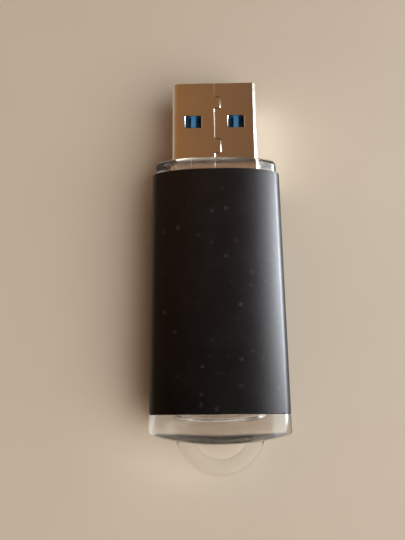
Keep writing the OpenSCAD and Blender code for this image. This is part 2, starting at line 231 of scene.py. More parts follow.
def makeBoardMask():
    material, tree, shader, coords = newMaterial("solderMask", {
        "Roughness": 0.3, "IOR": 1.55, "Coat Weight": 0.4, "Coat Roughness": 0.12})
    # copper under the mask: thin square-cornered runs and wide pours
    runs = addNode(tree, "ShaderNodeTexVoronoi", {"Vector": coords, "Scale": 900.0, "Randomness": 0.7},
                   feature="F1", distance="CHEBYCHEV")
    run = ramp(tree, combine(tree, "PINGPONG", runs.outputs["Distance"], 0.09), 0.045, 0.055)
    pour = ramp(tree, noise(tree, coords, 210.0, 0.0), 0.50, 0.51)
    copper = combine(tree, "MAXIMUM", run, pour)
    colored = mixColors(tree, copper, (0.004, 0.062, 0.030, 1), (0.012, 0.125, 0.058, 1))
    tree.links.new(colored, shader.inputs["Base Color"])
    bump(tree, shader, copper, 0.35, 0.00002)
    return material


anodisedBlack = makeAnodised()
clearPlastic = makeClear()
nickelPlate = makeNickel()
bluePlastic = makePlastic("bluePlastic", (0.068, 0.245, 0.50, 1), (0.085, 0.28, 0.54, 1), 0.30)
# a darker blue painted on the pocket floors as shade
pocketShadeBlue = makePlastic("pocketShadeBlue", (0.018, 0.062, 0.125, 1), (0.024, 0.078, 0.150, 1), 0.45)
blackEpoxy = makePlastic("blackEpoxy", (0.022, 0.022, 0.024, 1), (0.030, 0.030, 0.032, 1), 0.55, 0.25)
tanCeramic = makePlastic("tanCeramic", (0.40, 0.27, 0.15, 1), (0.46, 0.32, 0.19, 1), 0.5)
blackFilm = makePlastic("blackFilm", (0.018, 0.018, 0.020, 1), (0.025, 0.025, 0.028, 1), 0.22)
whiteCeramic = makePlastic("whiteCeramic", (0.75, 0.74, 0.70, 1), (0.68, 0.67, 0.63, 1), 0.55)
greyFerrite = makePlastic("greyFerrite", (0.070, 0.070, 0.075, 1), (0.095, 0.095, 0.10, 1), 0.6, 0.3)
milkyResin = makePlastic("milkyResin", (0.82, 0.80, 0.66, 1), (0.74, 0.73, 0.62, 1), 0.2)
laminate = makePlastic("glassFibreEdge", (0.42, 0.40, 0.20, 1), (0.34, 0.34, 0.17, 1), 0.6)
goldPlate = makeMetal("goldPlate", (0.93, 0.66, 0.27, 1), (0.80, 0.52, 0.20, 1), 0.2, 0.2)
tinPlate = makeMetal("tinPlate", (0.72, 0.72, 0.70, 1), (0.55, 0.55, 0.54, 1), 0.28)
canNickel = makeMetal("canNickel", (0.76, 0.74, 0.70, 1), (0.62, 0.60, 0.56, 1), 0.22)
solderMask = makeBoardMask()


print("stage: shape tools")


def newObject(name, verts, faces, edges=()):
    mesh = bpy.data.meshes.new(name)
    mesh.from_pydata([tuple(v) for v in verts], list(edges), faces)
    piece = bpy.data.objects.new(name, mesh)
    bpy.context.scene.collection.objects.link(piece)
    return piece


def cleanUp(piece, merge=1e-4):
    work = bmesh.new()
    work.from_mesh(piece.data)
    bmesh.ops.remove_doubles(work, verts=work.verts, dist=merge)
    bmesh.ops.recalc_face_normals(work, faces=work.faces)
    work.to_mesh(piece.data)
    work.free()


# A skin over rings that each have the same number of points; wrapped joins the last ring to the first.
def loft(name, rings, wrapped=False):
    count = len(rings[0])
    verts = [point for ring in rings for point in ring]
    faces = []
    for i in range(len(rings) if wrapped else len(rings) - 1):
        here, there = i * count, (i + 1) % len(rings) * count
        faces += [(here + k, here + (k + 1) % count, there + (k + 1) % count, there + k)
                  for k in range(count)]
    if not wrapped:
        faces.append(tuple(reversed(range(count))))
        faces.append(tuple(range(len(verts) - count, len(verts))))
    piece = newObject(name, verts, faces)
    cleanUp(piece)
    return piece


def quarterTurn(steps):
    return [math.pi / 2 * i / steps for i in range(steps + 1)]


def roundRect(width, height, radius, steps=5):
    corners = [(1, 1, 0), (-1, 1, 1), (-1, -1, 2), (1, -1, 3)]
    points = []
    for sx, sy, turn in corners:
        centre = (sx * (width / 2 - radius), sy * (height / 2 - radius))
        for angle in quarterTurn(steps):
            spin = angle + turn * math.pi / 2
            points.append((centre[0] + radius * math.cos(spin), centre[1] + radius * math.sin(spin)))
    return points


def circle(x, y, z, radius, sides):
    turns = [2 * math.pi * i / sides for i in range(sides)]
    return [(x + radius * math.cos(turn), y + radius * math.sin(turn), z) for turn in turns]


# Outlines stand across Y, at a height above the drive's middle plane.
def standing(outline, y):
    return [(x, y, middleZ + z) for x, z in outline]


def lying(outline, x, y, z):
    return [(x + u, y + v, z) for u, v in outline]


def evaluatedMesh(piece):
    depsgraph = bpy.context.evaluated_depsgraph_get()
    return bpy.data.meshes.new_from_object(piece.evaluated_get(depsgraph), depsgraph=depsgraph)


def applyModifiers(piece):
    mesh = evaluatedMesh(piece)
    piece.modifiers.clear()
    piece.data = mesh


def discard(*pieces):
    for piece in pieces:
        bpy.data.objects.remove(piece)


def carve(piece, *cutters, operation="DIFFERENCE"):
    for cutter in cutters:
        modifier = piece.modifiers.new("carve", "BOOLEAN")
        modifier.operation = operation
        modifier.solver = "EXACT"
        modifier.object = cutter
        applyModifiers(piece)
        discard(cutter)
    return piece


def joined(name, pieces):
    verts, faces, slots, materials = [], [], [], []
    for piece in pieces:
        start = len(verts)
        verts += [v.co[:] for v in piece.data.vertices]
        faces += [tuple(start + i for i in p.vertices) for p in piece.data.polygons]
        own = [m for m in piece.data.materials]
        for material in own:
            if material not in materials:
                materials.append(material)
        slots += [materials.index(own[p.material_index]) if own else 0 for p in piece.data.polygons]
    result = newObject(name, verts, faces)
    for material in materials:
        result.data.materials.append(material)
    if materials:
        result.data.polygons.foreach_set("material_index", slots)
    discard(*pieces)
    return result


def softenEdges(piece, width, segments=2, angle=35.0):
    modifier = piece.modifiers.new("soften", "BEVEL")
    modifier.width = width
    modifier.segments = segments
    modifier.limit_method = "ANGLE"
    modifier.angle_limit = math.radians(angle)
    modifier.use_clamp_overlap = True
    modifier.miter_outer = "MITER_ARC"
    applyModifiers(piece)


# A block with rounded upright edges and rolled top and bottom edges.
def softBlock(name, width, length, height, x, y, z, corner=0.1, edge=0.05, steps=3, edgeSteps=3):
    rings = []
    for angle in quarterTurn(edgeSteps):
        inset = edge * (1 - math.sin(angle))
        outline = roundRect(width - 2 * inset, length - 2 * inset, max(corner - inset, 0.01), steps)
        rings.append(lying(outline, x, y, z + edge * (1 - math.cos(angle))))
    rings += [[(px, py, 2 * z + height - pz) for px, py, pz in ring] for ring in reversed(rings)]
    return loft(name, rings)


def setMaterial(piece, material):
    piece.data.materials.clear()
    piece.data.materials.append(material)
    return piece


# Scales a piece to metres, smooths it and hands it to its body.
def finishPiece(piece, name, nodes, body=rootBody, sharpAngle=32.0, weighted=True):
    piece.name = name
    piece.data.name = name
    piece.data.transform(Matrix.Scale(mm, 4))
    piece.data.polygons.foreach_set("use_smooth", [True] * len(piece.data.polygons))
    piece.data.set_sharp_from_angle(angle=math.radians(sharpAngle))
    if weighted:
        modifier = piece.modifiers.new("weighted", "WEIGHTED_NORMAL")
        modifier.keep_sharp = True
        modifier.weight = 60
        applyModifiers(piece)
    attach(piece, body)
    if nodes:
        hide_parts(*nodes)
    return piece


# Geometry Nodes: a tree has named inputs, and its result is baked to a plain mesh.
def newTree(name, sockets):
    tree = bpy.data.node_groups.new(name, "GeometryNodeTree")
    tree.interface.new_socket("Geometry", in_out="INPUT", socket_type="NodeSocketGeometry")
    for label, kind in sockets:
        tree.interface.new_socket(label, in_out="INPUT", socket_type=kind)
    tree.interface.new_socket("Geometry", in_out="OUTPUT", socket_type="NodeSocketGeometry")
    given = tree.nodes.new("NodeGroupInput")
    return tree, given.outputs


def endTree(tree, geometry, material):
    real = addNode(tree, "GeometryNodeRealizeInstances", {"Geometry": geometry}).outputs["Geometry"]
    painted = addNode(tree, "GeometryNodeSetMaterial", {"Geometry": real, "Material": material})
    out = tree.nodes.new("NodeGroupOutput")
    tree.links.new(painted.outputs["Geometry"], out.inputs["Geometry"])


def bakeTree(name, source, tree, values):
    modifier = source.modifiers.new(name, "NODES")
    modifier.node_group = tree
    for item in tree.interface.items_tree:
        if item.in_out == "INPUT" and item.name in values:
            modifier[item.identifier] = values[item.name]
    mesh = evaluatedMesh(source)
    source.modifiers.clear()
    discard(source)
    piece = bpy.data.objects.new(name, mesh)
    bpy.context.scene.collection.objects.link(piece)
    return piece


def pathObject(name, points, cyclic=False):
    edges = [(i, i + 1) for i in range(len(points) - 1)]
    if cyclic:
        edges.append((len(points) - 1, 0))
    return newObject(name, points, [], edges)


# A rounded rectangular section follows a path. Its Width lies along Across, square to the path's plane.
def makeSectionTree():
    tree, given = newTree("sectionAlongPath", [
        ("Width", "NodeSocketFloat"), ("Thickness", "NodeSocketFloat"), ("Edge Radius", "NodeSocketFloat"),
        ("Bend Radius", "NodeSocketFloat"), ("Across", "NodeSocketVector"), ("Material", "NodeSocketMaterial")])
    path = addNode(tree, "GeometryNodeMeshToCurve", {"Mesh": given["Geometry"]}).outputs["Curve"]
    bent = addNode(tree, "GeometryNodeFilletCurve", {
        "Curve": path, "Count": 5, "Radius": given["Bend Radius"], "Limit Radius": True}, mode="POLY")
    steady = addNode(tree, "GeometryNodeSetCurveNormal", {
        "Curve": bent.outputs["Curve"], "Normal": given["Across"]}, mode="FREE").outputs["Curve"]
    section = addNode(tree, "GeometryNodeCurvePrimitiveQuadrilateral", {
        "Width": given["Width"], "Height": given["Thickness"]}).outputs["Curve"]
    rolled = addNode(tree, "GeometryNodeFilletCurve", {
        "Curve": section, "Count": 4, "Radius": given["Edge Radius"], "Limit Radius": True}, mode="POLY")
    skin = addNode(tree, "GeometryNodeCurveToMesh", {
        "Curve": steady, "Profile Curve": rolled.outputs["Curve"], "Fill Caps": True})
    endTree(tree, skin.outputs["Mesh"], given["Material"])
    return tree


sectionTree = makeSectionTree()


print("stage: sleeve")

crown = {
    "fallPower": 3.0, "fallInset": 0.5, "edgeFall": 1.5, "cornerRadius": 1.5, "crownSteps": 30, "cornerSteps": 14}
halfWidth = sleeveHigh.x
halfHeight = (sleeveHigh.z - sleeveLow.z) / 2


# The crown falls away smoothly from its middle: how far, and how steeply, at a distance across.
def crownFall(x):
    power, far, fall = crown["fallPower"], halfWidth - crown["fallInset"], crown["edgeFall"]
    return fall * (x / far) ** power, fall * power / far * (x / far) ** (power - 1)


# The upper half of the crowned outline, moved inwards, from its right side over the top to its left.
def crownedArch(inset):
    small = crown["cornerRadius"]
    cornerX = halfWidth - small
    meetX = cornerX
    for i in range(20):  # where the corner's arc leaves the crown
        lean = math.atan(crownFall(meetX)[1])
        meetX = cornerX + small * math.sin(lean)
    cornerZ = halfHeight - crownFall(meetX)[0] - small * math.cos(lean)
    right = []
    for i in range(crown["cornerSteps"] + 1):
        angle = math.pi / 2 + (lean - math.pi / 2) * i / crown["cornerSteps"]
        right.append((cornerX + (small - inset) * math.sin(angle),
                      cornerZ + (small - inset) * math.cos(angle)))
    for i in range(1, crown["crownSteps"] + 1):
        x = meetX * (1 - i / crown["crownSteps"])
        fall, slope = crownFall(x)
        tilt = math.atan(slope)
        right.append((x - inset * math.sin(tilt), halfHeight - fall - inset * math.cos(tilt)))
    side = [(halfWidth - inset, 0.0)]
    return side + right + [(-x, z) for x, z in reversed(right[:-1])] + [(inset - halfWidth, 0.0)]


def crownedRing(inset):
    arch = crownedArch(inset)
    return arch + [(x, -z) for x, z in reversed(arch[1:-1])]


sleeve = {"wall": 0.3, "edgeRadius": 0.1}


def makeSleeve():
    length = sleeveHigh.y - sleeveLow.y
    centreY = (sleeveHigh.y + sleeveLow.y) / 2
    path = pathObject("sleevePath", standing(crownedRing(sleeve["wall"] / 2), centreY), cyclic=True)
    piece = bakeTree("sleeveTube", path, sectionTree, {
        "Width": length, "Thickness": sleeve["wall"], "Edge Radius": sleeve["edgeRadius"],
        "Bend Radius": 0.0, "Across": (0.0, 1.0, 0.0), "Material": anodisedBlack})
    cleanUp(piece)
    finishPiece(piece, "sleeveTube", ["metal_sleeve"])


makeSleeve()


print("stage: clear carrier")

carrier = {
    "inset": 0.35, "collarEdge": 0.9, "collarShares": (0.35, 0.7, 0.9), "shoulderEdge": 0.08, "split": 0.012,
    "endRadius": 34.0, "rimRadius": 3.4, "rimStart": 1.75, "endEdge": 0.16,
    "endShares": (0.97, 0.94, 0.91, 0.88, 0.85, 0.82, 0.79, 0.76, 0.73, 0.70, 0.67, 0.5, 0.3, 0.15),
    "fit": 0.02, "seatHeight": 4.5, "seatCorner": 0.62,
    "roomWidth": 12.4, "roomHeight": 4.64, "roomCorner": 0.25, "roomStart": 18.0,
    "rebateStart": 18.8, "rebateFit": 0.05, "rebateCorner": 0.02,
    "hollowWidth": 10.8, "hollowHeight": 4.0, "hollowWall": 2.4, "hollowCorner": 0.9, "hollowRound": 0.6,
    "pegX": 7.3, "pegRadius": 0.45, "pegHeight": 1.1, "pegChamfer": 0.12, "pegPlaces": (16.1, 43.1),
    "pegFit": 0.05, "pegRoom": 0.15}
loop = {"outer": 5.6, "hole": 3.7, "thickness": 2.6, "edge": 0.86, "gap": 0.012, "root": 0.4}


def endArc(x, inner=0.0):
    radius = carrier["endRadius"] - inner
    return endY + carrier["endRadius"] - math.sqrt(radius ** 2 - x ** 2)


# How far the rolled lower rim stands in front of the arc at a height from the middle plane.
def rimDrop(z):
    rise = min(max(-z - carrier["rimStart"], 0.0), carrier["rimRadius"])
    return carrier["rimRadius"] - math.sqrt(carrier["rimRadius"] ** 2 - rise ** 2)


def archDisc(name, radius, low, high, steps=360):
    centreY = endY + carrier["endRadius"]
    return loft(name, [circle(0, centreY, z, radius, steps) for z in (low, high)])


def makeCarrierBody(name):
    collarY, shoulderY = coverHigh.y, sleeveLow.y
    inset, edge, endEdge = carrier["inset"], carrier["collarEdge"], carrier["endEdge"]
    shoulder = carrier["shoulderEdge"]
    rings = []
    for share in carrier["collarShares"]:
        shrunk = [(x * share, z * share) for x, z in crownedRing(inset + edge)]
        rings.append(standing(shrunk, collarY))
    for angle in quarterTurn(5):
        rings.append(standing(crownedRing(inset + edge * (1 - math.sin(angle))),
                              collarY - edge * (1 - math.cos(angle))))
    rings.append(standing(crownedRing(inset), shoulderY))
    for angle in quarterTurn(2):
        rings.append(standing(crownedRing(shoulder * (1 - math.sin(angle))),
                              shoulderY - shoulder * (1 - math.cos(angle))))
    for angle in quarterTurn(3):
        outline = crownedRing(endEdge * (1 - math.cos(angle)))
        rings.append([(x, endArc(x) + rimDrop(z) + endEdge * (1 - math.sin(angle)), middleZ + z)
                      for x, z in outline])
    for share in carrier["endShares"]:
        outline = [(x * share, z * share) for x, z in crownedRing(endEdge)]
        rings.append([(x, endArc(x) + rimDrop(z), middleZ + z) for x, z in outline])
    return loft(name, rings)


def makeCarrierSpace():
    fit = carrier["fit"]
    shellWidth = shellHigh.x - shellLow.x
    roomY = backFromTip(carrier["roomStart"])
    seatOutline = roundRect(shellWidth + 2 * fit, carrier["seatHeight"] + 2 * fit, carrier["seatCorner"])
    seat = loft("seat", [standing(seatOutline, y) for y in (coverHigh.y + 1, roomY)])
    roomOutline = roundRect(carrier["roomWidth"], carrier["roomHeight"], carrier["roomCorner"])
    room = loft("room", [standing(roomOutline, y) for y in (roomY + 0.01, sleeveLow.y)])
    boardHalf = boardHigh.x + carrier["rebateFit"]
    rebateOutline = roundRect(2 * boardHalf, boardHigh.z - boardLow.z + 0.02, carrier["rebateCorner"], 1)
    rebate = loft("rebate", [standing(rebateOutline, y)
                             for y in (backFromTip(carrier["rebateStart"]), sleeveLow.y)])
    steps = 24
    plan = []
    halfHollow, corner = carrier["hollowWidth"] / 2, carrier["hollowCorner"]
    for i in range(steps + 1):
        x = -halfHollow + corner + (2 * halfHollow - 2 * corner) * i / steps
        plan.append((x, endArc(x, carrier["hollowWall"])))
    plan = ([(-halfHollow, sleeveLow.y + 1), (-halfHollow, plan[0][1] + corner)]
            + [(-halfHollow + corner * (1 - math.cos(a)), plan[0][1] + corner * (1 - math.sin(a)))
               for a in quarterTurn(4)[1:-1]] + plan
            + [(halfHollow - corner * (1 - math.sin(a)), plan[-1][1] + corner * (1 - math.cos(a)))
               for a in quarterTurn(4)[1:-1]]
            + [(halfHollow, plan[-1][1] + corner), (halfHollow, sleeveLow.y + 1)])
    halfTall = carrier["hollowHeight"] / 2
    rings = []
    roll = carrier["hollowRound"]
    levels = [(roll * (1 - math.cos(a)), roll * (1 - math.sin(a))) for a in quarterTurn(10)]
    levels = [(-halfTall + rise, shrink) for rise, shrink in levels] + [
        (halfTall - rise, shrink) for rise, shrink in reversed(levels)]
    for z, shrink in levels:
        lifts = [0.0] + [shrink] * (len(plan) - 2) + [0.0]
        rings.append([(x * (1 - shrink / halfHollow), y + lift, middleZ + z)
                      for (x, y), lift in zip(plan, lifts)])
    hollow = loft("hollow", rings)
    return [seat, room, rebate, hollow]


def makeLoop():
    centreY = baseLow.y + loop["outer"]
    wall = loop["outer"] - loop["hole"]
    section = roundRect(wall, loop["thickness"], loop["edge"], 6)
    middle = (loop["outer"] + loop["hole"]) / 2
    rings = []
    steps = 120
    for i in range(steps):
        turn = 2 * math.pi * i / steps
        rings.append([((middle + u) * math.cos(turn), centreY + (middle + u) * math.sin(turn), middleZ + v)
                      for u, v in section])
    ring = loft("loopRing", rings, wrapped=True)
    over = archDisc("over", carrier["endRadius"] + loop["gap"], middleZ - carrier["split"], middleZ + 5)
    under = archDisc("under", carrier["endRadius"] - loop["root"], middleZ - 5, middleZ + 1)
    return carve(ring, over, under)


def makePeg(x, y, radius, low, high, sides=32):
    chamfer = carrier["pegChamfer"]
    levels = ((low, radius), (high - chamfer, radius), (high, radius - chamfer))
    return loft("peg", [circle(x, y, middleZ + z, size, sides) for z, size in levels])


def makeCarrier():
    split = carrier["split"]
    far = 60.0
    cover, base = makeCarrierBody("cover"), makeCarrierBody("base")
    carve(cover, *makeCarrierSpace())
    carve(base, *makeCarrierSpace())
    carve(cover, softBlock("below", far, far * 2, far, 0, 0, middleZ + split - far, 1, 0.5))
    carve(base, softBlock("above", far, far * 2, far, 0, 0, middleZ - split, 1, 0.5))
    carve(base, makeLoop(), operation="UNION")
    for side in (-1, 1):
        for place in carrier["pegPlaces"]:
            x, y = side * carrier["pegX"], backFromTip(place)
            carve(base, makePeg(x, y, carrier["pegRadius"], -0.1, carrier["pegHeight"]), operation="UNION")
            carve(cover, makePeg(x, y, carrier["pegRadius"] + carrier["pegFit"], -0.1,
                                 carrier["pegHeight"] + carrier["pegRoom"]))
    for piece, node, name in ((cover, "carrier_cover", "clearCover"), (base, "carrier_base", "clearBase")):
        cleanUp(piece, 2e-4)
        setMaterial(piece, clearPlastic)
        finishPiece(piece, name, [node], sharpAngle=40.0)


makeCarrier()


print("stage: plug shell")

shell = {
    "height": 4.5, "wall": 0.3, "bend": 0.8, "length": 18.6, "lip": 0.11,
    "windowX": 3.0, "windowWidth": 2.6, "windowLength": 2.0, "windowFront": 5.16, "windowCorner": 0.28,
    "windowRoll": 0.24, "windowEndRoll": 0.07,
    "seamHalf": 0.105, "seamRoll": 0.08, "seamBend": 0.22, "seamStep": 0.85,
    "seamTabs": ((2.3, 4.1), (8.9, 11.0)),
    "legWidth": 1.2, "legTop": 0.85, "legBack": 0.4, "legDrop": 1.2, "legOverlap": 0.4,
    "legThickness": 0.9, "legEdge": 0.06, "legBend": 0.3}


def makeShellTube():
    width, height, wall, lip = shellHigh.x - shellLow.x, shell["height"], shell["wall"], shell["lip"]
    rearY = backFromTip(shell["length"])

    def ring(inset, y):
        return standing(roundRect(width - 2 * inset, height - 2 * inset, shell["bend"] - inset, 7), y)

    stations = [(0.0, rearY)]
    stations += [(lip * (1 - math.cos(a)), tipY - lip * (1 - math.sin(a))) for a in quarterTurn(4)]
    stations += [(wall - lip * (1 - math.sin(a)), tipY - lip * (1 - math.cos(a))) for a in quarterTurn(4)]
    stations += [(wall, rearY)]
    return loft("shellTube", [ring(inset, y) for inset, y in stations], wrapped=True)


# A punched window: the sheet rolls over into the hole all round.
def makeWindowPunch(side, up):
    roll = shell["windowRoll"]
    x = side * shell["windowX"]
    y = backFromTip(shell["windowFront"] + shell["windowLength"] / 2)
    face = shell["height"] / 2
    levels = [(-roll * (1 - math.cos(a)), roll * math.sin(a)) for a in quarterTurn(6)]
    levels = [(0.5, 0.0)] + levels + [(-0.9, roll)]
    rings = []
    for drop, inset in levels:
        endInset = inset * shell["windowEndRoll"] / roll
        outline = roundRect(shell["windowWidth"] - 2 * inset, shell["windowLength"] - 2 * endInset,
                            shell["windowCorner"] - inset * 0.6, 4)
        rings.append(lying(outline, x, y, middleZ + up * (face + drop)))
    return loft("punch", rings)


# Turns a path's corners into short arcs.
def filleted(points, radius, steps=4):
    result = [points[0]]
    for before, here, after in zip(points, points[1:], points[2:]):
        here = Vector(here)
        first, second = (Vector(before) - here).normalized(), (Vector(after) - here).normalized()
        start, end = here + first * radius, here + second * radius
        centre = here + (first + second) * radius
        for i in range(steps + 1):
            blend = (start - centre).lerp(end - centre, i / steps).normalized() * radius
            result.append(tuple(centre + blend))
    return result + [points[-1]]


# The seam's groove: two rolled sheet edges side by side, along a stepped path.
def makeSeamCutter():
    face = middleZ + shell["height"] / 2
    roll, half, step = shell["seamRoll"], shell["seamHalf"], shell["seamStep"]
    corners = [(0.0, tipY + 1)]
    for start, end in shell["seamTabs"]:
        corners += [(0.0, backFromTip(start)), (step, backFromTip(start)),
                    (step, backFromTip(end)), (0.0, backFromTip(end))]
    corners.append((0.0, backFromTip(shell["length"] + 1)))
    path = filleted(corners, shell["seamBend"])
    side = [(half, 0.3)] + [(half - roll * math.sin(a), -roll * (1 - math.cos(a))) for a in quarterTurn(5)]
    side.append((half - roll, -shell["wall"] + 0.05))
    section = side + [(-u, v) for u, v in reversed(side)]
    rings = []
    for i, point in enumerate(path):
        here = Vector(point)
        ahead = Vector(path[min(i + 1, len(path) - 1)]) - here
        behind = here - Vector(path[max(i - 1, 0)])
        if ahead.length == 0:
            ahead = behind
        if behind.length == 0:
            behind = ahead
        ahead.normalize()
        behind.normalize()
        along = (ahead + behind).normalized()
        across = Vector((along.y, -along.x)) / max(along.dot(ahead), 0.3)
        rings.append([(here.x + across.x * u, here.y + across.y * u, face + v) for u, v in section])
    return loft("seam", rings)


def makeShellLeg(side):
    width = shellHigh.x - shell["wall"] / 2
    x = side * width
    top = middleZ + shell["legTop"]
    backY = backFromTip(shell["length"] + shell["legBack"] + shell["legWidth"] / 2)
    startY = backFromTip(shell["length"]) + shell["legOverlap"]
    path = pathObject("legPath", [(x, startY, top), (x, backY, top), (x, backY, middleZ - shell["legDrop"])])
    return bakeTree("leg", path, sectionTree, {
        "Width": shell["wall"], "Thickness": shell["legThickness"], "Edge Radius": shell["legEdge"],
        "Bend Radius": shell["legBend"],
        "Across": (1.0, 0.0, 0.0), "Material": nickelPlate})


def makeShell():
    tube = makeShellTube()
    for side in (-1, 1):
        for up in (-1, 1):
            carve(tube, makeWindowPunch(side, up))
    carve(tube, makeSeamCutter())
    cleanUp(tube, 2e-4)
    setMaterial(tube, nickelPlate)
    legs = [makeShellLeg(side) for side in (-1, 1)]
    piece = joined("plugShell", [tube] + legs)
    finishPiece(piece, "plugShell", ["plug_shell"], sharpAngle=38.0)


makeShell()


print("stage: plug plastics")


# A copy of a CAD node's mesh in millimetres, merged and with its edges softened.
def softenedCopy(node, width, segments=2):
    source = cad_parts[node]
    piece = newObject(node + "Copy", [v.co / mm for v in source.data.vertices],
                      [tuple(p.vertices) for p in source.data.polygons])
    work = bmesh.new()
    work.from_mesh(piece.data)
    bmesh.ops.remove_doubles(work, verts=work.verts, dist=1e-4)
    bmesh.ops.dissolve_limit(work, angle_limit=math.radians(1.0), verts=work.verts, edges=work.edges)
    bmesh.ops.connect_verts_concave(work, faces=work.faces)
    work.to_mesh(piece.data)
    work.free()
    softenEdges(piece, width, segments)
    return piece


pockets = {"halfWidth": 1.4, "halfLength": 1.1, "lowest": 0.9, "rimHeight": 0.3}


# Painted shade: the floors of the pockets under the windows get a darker, duller blue than the tongue's other
# faces.
def paintPocketShade(tongue):
    tongue.data.materials.append(pocketShadeBlue)
    highest = middleZ + shell["height"] / 2 - shell["wall"] - pockets["rimHeight"]
    windowMiddle = shell["windowFront"] + shell["windowLength"] / 2
    for face in tongue.data.polygons:
        x, y, z = face.center
        inWidth = abs(abs(x) - shell["windowX"]) < pockets["halfWidth"]
        inLength = abs(tipY - y - windowMiddle) < pockets["halfLength"]
        if inWidth and inLength and middleZ + pockets["lowest"] < z < highest:
            face.material_index = 1


for node, name in (("plug_tongue", "plugTongue"), ("spring_contact_block", "springContactBlock")):
    plastic = setMaterial(softenedCopy(node, 0.05), bluePlastic)
    if node == "plug_tongue":
        paintPocketShade(plastic)
    finishPiece(plastic, name, [node])


print("stage: contacts")

contacts = {
    "thickness": 0.184, "edge": 0.05, "padWidth": 1.0, "springWidth": 0.6, "tailWidth": 0.5,
    "bend": 0.2, "springBend": 0.35,
    "frontPlaces": {"vbus_contact": (-3.5, 1.3), "data_minus_contact": (-1.0, 2.3),
                    "data_plus_contact": (1.0, 2.3), "ground_contact": (3.5, 1.3)},
    "frontRoute": ((5.2, 0.1), (5.6, 0.95), (13.4, 0.95), (14.2, 0.5), (18.4, 0.5)),
    "springPlaces": (-4.0, -2.0, 0.0, 2.0, 4.0),
    "springRoute": ((8.64, -0.1), (7.4, -0.4), (6.9, -0.52), (6.6, -0.46), (6.1, -0.1)),
    "tailRoute": ((8.7, -0.1), (14.4, -0.1), (15.0, -0.5), (18.4, -0.5))}


def makeStrip(name, x, route, width, bend):
    path = pathObject(name, [(x, backFromTip(t), middleZ + z) for t, z in route])
    strip = bakeTree(name, path, sectionTree, {
        "Width": width, "Thickness": contacts["thickness"], "Edge Radius": contacts["edge"],
        "Bend Radius": bend, "Across": (1.0, 0.0, 0.0), "Material": goldPlate})
    cleanUp(strip, 0.003)
    return strip


def makeContacts():
    for node, (x, start) in contacts["frontPlaces"].items():
        words = node.split("_")
        name = words[0] + "".join(word.capitalize() for word in words[1:])
        route = ((start + 0.02, 0.1),) + contacts["frontRoute"]
        strip = makeStrip(name, x, route, contacts["padWidth"], contacts["bend"])
        finishPiece(strip, name, [node])
    for i, x in enumerate(contacts["springPlaces"], 1):
        name, body = "springContact%d" % i, "spring_contact_%d" % i
        strip = makeStrip(name, x, contacts["springRoute"], contacts["springWidth"], contacts["springBend"])
        finishPiece(strip, name, [body], body=body)
    tails = [makeStrip("tail", x, contacts["tailRoute"], contacts["tailWidth"], contacts["bend"])
             for x in contacts["springPlaces"]]
    finishPiece(joined("springContactTails", tails), "springContactTails", ["spring_contact_tails"])


makeContacts()


print("stage: circuit board")

board = {
    "tongueWidth": 11.0, "tongueFront": 15.7, "shoulder": 18.8, "corner": 0.8, "edge": 0.04,
    "slotWidth": 0.6, "slotLength": 1.5, "slotMiddle": 19.6,
    "padSize": (0.8, 1.9, 0.035), "padMiddle": 17.3, "frontPads": (-3.5, -1.0, 1.0, 3.5),
    "viaPitch": 1.1, "viaRadius": 0.2, "viaHole": 0.1, "viaKeep": 0.3}


def makePlatePrism(name, outline, low, high, edge):
    rings = []
    middleX = sum(x for x, y in outline) / len(outline)
    middleY = sum(y for x, y in outline) / len(outline)
    for z, inset in ((low, edge), (low + edge, 0.0), (high - edge, 0.0), (high, edge)):
        rings.append([(x - math.copysign(inset, x - middleX), y - math.copysign(inset, y - middleY), z)
                      for x, y in outline])
    return loft(name, rings)


def makeBoard():
    low, high = boardLow.z, boardHigh.z
    halfBoard, halfTongue = boardHigh.x, board["tongueWidth"] / 2
    frontY, shoulderY = backFromTip(board["tongueFront"]), backFromTip(board["shoulder"])
    rearY = boardLow.y
    corner = board["corner"]
    arc = [(corner * (1 - math.cos(a)), corner * (1 - math.sin(a))) for a in quarterTurn(6)]
    right = [(halfTongue, frontY), (halfTongue, shoulderY)]
    right += [(halfBoard - dx, shoulderY - dy) for dx, dy in reversed(arc)]
    right += [(halfBoard - dx, rearY + dy) for dx, dy in arc]
    outline = right + [(-x, y) for x, y in reversed(right)]
    plate = makePlatePrism("board", outline, low, high, board["edge"])
    for side in (-1, 1):
        slotX = side * (shellHigh.x - 0.15)
        carve(plate, softBlock("slot", board["slotWidth"], board["slotLength"], 3.0, slotX,
                               backFromTip(board["slotMiddle"]), middleZ - 1.5, 0.25, 0.02))
    plate.data.materials.append(solderMask)
    plate.data.materials.append(laminate)
    for face in plate.data.polygons:
        face.material_index = 0 if abs(face.normal.z) > 0.9 else 1
    pads = []
    width, length, height = board["padSize"]
    padY = backFromTip(board["padMiddle"])
    for x in board["frontPads"]:
        pads.append(softBlock("pad", width, length, height, x, padY, high - 0.01, 0.1, 0.01))
    for x in contacts["springPlaces"]:
        pads.append(softBlock("pad", width, length, height, x, padY, low + 0.01 - height, 0.1, 0.01))
    for pad in pads:
        setMaterial(pad, tinPlate)
    whole = joined("circuitBoard", [plate, makeVias()] + pads)
    finishPiece(whole, "circuitBoard", ["circuit_board"])


